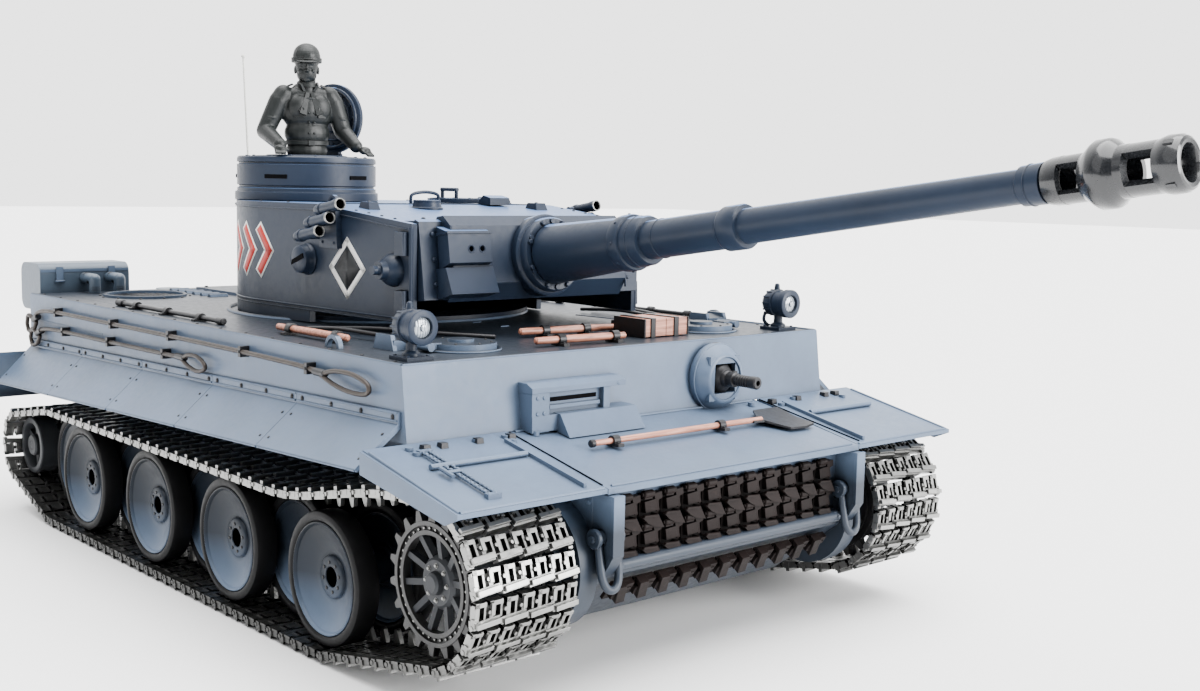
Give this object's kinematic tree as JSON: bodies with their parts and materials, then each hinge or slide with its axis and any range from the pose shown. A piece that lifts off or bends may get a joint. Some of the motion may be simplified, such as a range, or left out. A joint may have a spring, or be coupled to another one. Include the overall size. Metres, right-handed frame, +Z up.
{
  "type": "remote control tank",
  "caption": "Remote-control scale model heavy tank: hull on interleaved road wheels and metal tracks, turning turret with a long elevating gun, hatches and a half figure.",
  "frame": {"origin": "centre of the overall box, gun included, at the ground under the tracks", "axes": "+X ahead, the way the gun points; +Y to the left of the tank as pictured; +Z up"},
  "size_m": [0.5256, 0.231, 0.2163],
  "materials": {
    "hull_paint": "matt blue-grey paint over plastic and cast parts",
    "track_metal": "bright cast zinc links, darker in the recesses",
    "tyre_rubber": "soft black rubber tyre on a painted disc",
    "wheel_paint": "matt blue-grey painted wheel disc with a rubber tyre",
    "arm_metal": "black metal swing arms and stub axles",
    "dark_paint": "semi-gloss dark blue paint",
    "rust_links": "dull brown painted spare links",
    "cable_steel": "dull brown-grey moulded cable",
    "wood": "reddish wood handles",
    "tool_steel": "black tool heads and clips",
    "lens": "clear moulded lens",
    "figure_plastic": "dark green-grey unpainted plastic",
    "black_gloss": "gloss black",
    "black_plastic": "matt black",
    "battery_wrap": "shrink-wrapped cells",
    "board": "green circuit board",
    "aerial": "pale flexible rod"
  },
  "bodies": {
    "hull": {"hull_tub": "hull_paint", "hull_superstructure": "hull_paint", "engine_deck": "hull_paint", "side_fenders": "hull_paint", "mudguards": "hull_paint", "driver_visor": "hull_paint", "mg_collar": "hull_paint", "headlamps": "hull_paint", "headlamp_lenses": "lens", "air_filters": "dark_paint", "exhausts": "dark_paint", "spare_track_links": "rust_links", "link_retaining_bar": "hull_paint", "tow_shackles": "hull_paint", "tow_cables": "cable_steel", "tool_handles": "wood", "tool_heads": "tool_steel", "hull_roof_fittings": "hull_paint", "antenna": "aerial", "drive_units": "black_plastic", "battery_pack": "battery_wrap", "sound_and_control_board": "board", "swing_arms": "arm_metal", "track_left": "track_metal", "track_right": "track_metal"},
    "turret": {"turret_shell": "hull_paint", "turret_base_ring": "hull_paint", "stowage_bin": "hull_paint", "cupola": "hull_paint", "commander_figure": "figure_plastic", "smoke_launchers": "dark_paint", "turret_fittings": "hull_paint"},
    "gun": {"mantlet": "hull_paint", "gun_barrel": "hull_paint", "muzzle_brake": "black_gloss"},
    "commander_hatch_body": {"commander_hatch": "hull_paint"},
    "loader_hatch_body": {"loader_hatch": "hull_paint"},
    "driver_hatch_body": {"driver_hatch": "hull_paint"},
    "radio_hatch_body": {"radio_hatch": "hull_paint"},
    "hull_mg_body": {"hull_mg": "black_gloss"},
    "sprocket_left_body": {"sprocket_left": "track_metal"},
    "sprocket_right_body": {"sprocket_right": "track_metal"},
    "idler_left_body": {"idler_left": "dark_paint"},
    "idler_right_body": {"idler_right": "dark_paint"},
    "road_wheel_left_1_body": {"road_wheel_left_1": "wheel_paint"},
    "road_wheel_left_2_body": {"road_wheel_left_2": "wheel_paint"},
    "road_wheel_left_3_body": {"road_wheel_left_3": "wheel_paint"},
    "road_wheel_left_4_body": {"road_wheel_left_4": "wheel_paint"},
    "road_wheel_left_5_body": {"road_wheel_left_5": "wheel_paint"},
    "road_wheel_left_6_body": {"road_wheel_left_6": "wheel_paint"},
    "road_wheel_left_7_body": {"road_wheel_left_7": "wheel_paint"},
    "road_wheel_left_8_body": {"road_wheel_left_8": "wheel_paint"},
    "road_wheel_right_1_body": {"road_wheel_right_1": "wheel_paint"},
    "road_wheel_right_2_body": {"road_wheel_right_2": "wheel_paint"},
    "road_wheel_right_3_body": {"road_wheel_right_3": "wheel_paint"},
    "road_wheel_right_4_body": {"road_wheel_right_4": "wheel_paint"},
    "road_wheel_right_5_body": {"road_wheel_right_5": "wheel_paint"},
    "road_wheel_right_6_body": {"road_wheel_right_6": "wheel_paint"},
    "road_wheel_right_7_body": {"road_wheel_right_7": "wheel_paint"},
    "road_wheel_right_8_body": {"road_wheel_right_8": "wheel_paint"}
  },
  "joints": [
    {"name": "turret_traverse", "type": "hinge", "parent": "hull", "child": "turret", "pos_m": [-0.0924, 0, 0.1], "axis": [0, 0, 1], "range_deg": [-140, 140]},
    {"name": "gun_elevation", "type": "hinge", "parent": "turret", "child": "gun", "pos_m": [-0.0004, 0, 0.1256], "axis": [0, -1, 0], "range_deg": [-16.2, 6.8]},
    {"name": "commander_hatch_hinge", "type": "hinge", "parent": "turret", "child": "commander_hatch_body", "pos_m": [-0.11521, -0.00906, 0.1654], "axis": [0.9272, 0.3746, 0], "range_deg": [-15, 0]},
    {"name": "loader_hatch_hinge", "type": "hinge", "parent": "turret", "child": "loader_hatch_body", "pos_m": [-0.0664, 0.0386, 0.1475], "axis": [-1, 0, 0], "range_deg": [0, 110]},
    {"name": "driver_hatch_hinge", "type": "hinge", "parent": "hull", "child": "driver_hatch_body", "pos_m": [0.0456, -0.0734, 0.1014], "axis": [1, 0, 0], "range_deg": [0, 100]},
    {"name": "radio_hatch_hinge", "type": "hinge", "parent": "hull", "child": "radio_hatch_body", "pos_m": [0.0456, 0.0734, 0.1014], "axis": [-1, 0, 0], "range_deg": [0, 100]},
    {"name": "hull_mg_swing", "type": "hinge", "parent": "hull", "child": "hull_mg_body", "pos_m": [0.0737, 0.037, 0.086], "axis": [0, 0, 1], "range_deg": [-12, 12]},
    {"name": "sprocket_left_spin", "type": "hinge", "parent": "hull", "child": "sprocket_left_body", "pos_m": [0.0976, 0.091, 0.039], "axis": [0, 1, 0], "continuous": true},
    {"name": "idler_left_spin", "type": "hinge", "parent": "hull", "child": "idler_left_body", "pos_m": [-0.2264, 0.091, 0.03], "axis": [0, 1, 0], "continuous": true},
    {"name": "road_wheel_left_1_spin", "type": "hinge", "parent": "hull", "child": "road_wheel_left_1_body", "pos_m": [0.0376, 0.091, 0.027], "axis": [0, 1, 0], "continuous": true},
    {"name": "road_wheel_left_2_spin", "type": "hinge", "parent": "hull", "child": "road_wheel_left_2_body", "pos_m": [0.0054, 0.091, 0.027], "axis": [0, 1, 0], "continuous": true},
    {"name": "road_wheel_left_3_spin", "type": "hinge", "parent": "hull", "child": "road_wheel_left_3_body", "pos_m": [-0.0268, 0.091, 0.027], "axis": [0, 1, 0], "continuous": true},
    {"name": "road_wheel_left_4_spin", "type": "hinge", "parent": "hull", "child": "road_wheel_left_4_body", "pos_m": [-0.059, 0.091, 0.027], "axis": [0, 1, 0], "continuous": true},
    {"name": "road_wheel_left_5_spin", "type": "hinge", "parent": "hull", "child": "road_wheel_left_5_body", "pos_m": [-0.0912, 0.091, 0.027], "axis": [0, 1, 0], "continuous": true},
    {"name": "road_wheel_left_6_spin", "type": "hinge", "parent": "hull", "child": "road_wheel_left_6_body", "pos_m": [-0.1234, 0.091, 0.027], "axis": [0, 1, 0], "continuous": true},
    {"name": "road_wheel_left_7_spin", "type": "hinge", "parent": "hull", "child": "road_wheel_left_7_body", "pos_m": [-0.1556, 0.091, 0.027], "axis": [0, 1, 0], "continuous": true},
    {"name": "road_wheel_left_8_spin", "type": "hinge", "parent": "hull", "child": "road_wheel_left_8_body", "pos_m": [-0.1878, 0.091, 0.027], "axis": [0, 1, 0], "continuous": true},
    {"name": "sprocket_right_spin", "type": "hinge", "parent": "hull", "child": "sprocket_right_body", "pos_m": [0.0976, -0.091, 0.039], "axis": [0, 1, 0], "continuous": true},
    {"name": "idler_right_spin", "type": "hinge", "parent": "hull", "child": "idler_right_body", "pos_m": [-0.2264, -0.091, 0.03], "axis": [0, 1, 0], "continuous": true},
    {"name": "road_wheel_right_1_spin", "type": "hinge", "parent": "hull", "child": "road_wheel_right_1_body", "pos_m": [0.0376, -0.091, 0.027], "axis": [0, 1, 0], "continuous": true},
    {"name": "road_wheel_right_2_spin", "type": "hinge", "parent": "hull", "child": "road_wheel_right_2_body", "pos_m": [0.0054, -0.091, 0.027], "axis": [0, 1, 0], "continuous": true},
    {"name": "road_wheel_right_3_spin", "type": "hinge", "parent": "hull", "child": "road_wheel_right_3_body", "pos_m": [-0.0268, -0.091, 0.027], "axis": [0, 1, 0], "continuous": true},
    {"name": "road_wheel_right_4_spin", "type": "hinge", "parent": "hull", "child": "road_wheel_right_4_body", "pos_m": [-0.059, -0.091, 0.027], "axis": [0, 1, 0], "continuous": true},
    {"name": "road_wheel_right_5_spin", "type": "hinge", "parent": "hull", "child": "road_wheel_right_5_body", "pos_m": [-0.0912, -0.091, 0.027], "axis": [0, 1, 0], "continuous": true},
    {"name": "road_wheel_right_6_spin", "type": "hinge", "parent": "hull", "child": "road_wheel_right_6_body", "pos_m": [-0.1234, -0.091, 0.027], "axis": [0, 1, 0], "continuous": true},
    {"name": "road_wheel_right_7_spin", "type": "hinge", "parent": "hull", "child": "road_wheel_right_7_body", "pos_m": [-0.1556, -0.091, 0.027], "axis": [0, 1, 0], "continuous": true},
    {"name": "road_wheel_right_8_spin", "type": "hinge", "parent": "hull", "child": "road_wheel_right_8_body", "pos_m": [-0.1878, -0.091, 0.027], "axis": [0, 1, 0], "continuous": true}
  ],
  "couplings": [
    {"joint": "idler_left_spin", "follows": "sprocket_left_spin", "ratio": 1.6906},
    {"joint": "road_wheel_left_1_spin", "follows": "sprocket_left_spin", "ratio": 1.0217},
    {"joint": "road_wheel_left_2_spin", "follows": "sprocket_left_spin", "ratio": 1.0217},
    {"joint": "road_wheel_left_3_spin", "follows": "sprocket_left_spin", "ratio": 1.0217},
    {"joint": "road_wheel_left_4_spin", "follows": "sprocket_left_spin", "ratio": 1.0217},
    {"joint": "road_wheel_left_5_spin", "follows": "sprocket_left_spin", "ratio": 1.0217},
    {"joint": "road_wheel_left_6_spin", "follows": "sprocket_left_spin", "ratio": 1.0217},
    {"joint": "road_wheel_left_7_spin", "follows": "sprocket_left_spin", "ratio": 1.0217},
    {"joint": "road_wheel_left_8_spin", "follows": "sprocket_left_spin", "ratio": 1.0217},
    {"joint": "idler_right_spin", "follows": "sprocket_right_spin", "ratio": 1.6906},
    {"joint": "road_wheel_right_1_spin", "follows": "sprocket_right_spin", "ratio": 1.0217},
    {"joint": "road_wheel_right_2_spin", "follows": "sprocket_right_spin", "ratio": 1.0217},
    {"joint": "road_wheel_right_3_spin", "follows": "sprocket_right_spin", "ratio": 1.0217},
    {"joint": "road_wheel_right_4_spin", "follows": "sprocket_right_spin", "ratio": 1.0217},
    {"joint": "road_wheel_right_5_spin", "follows": "sprocket_right_spin", "ratio": 1.0217},
    {"joint": "road_wheel_right_6_spin", "follows": "sprocket_right_spin", "ratio": 1.0217},
    {"joint": "road_wheel_right_7_spin", "follows": "sprocket_right_spin", "ratio": 1.0217},
    {"joint": "road_wheel_right_8_spin", "follows": "sprocket_right_spin", "ratio": 1.0217}
  ]
}
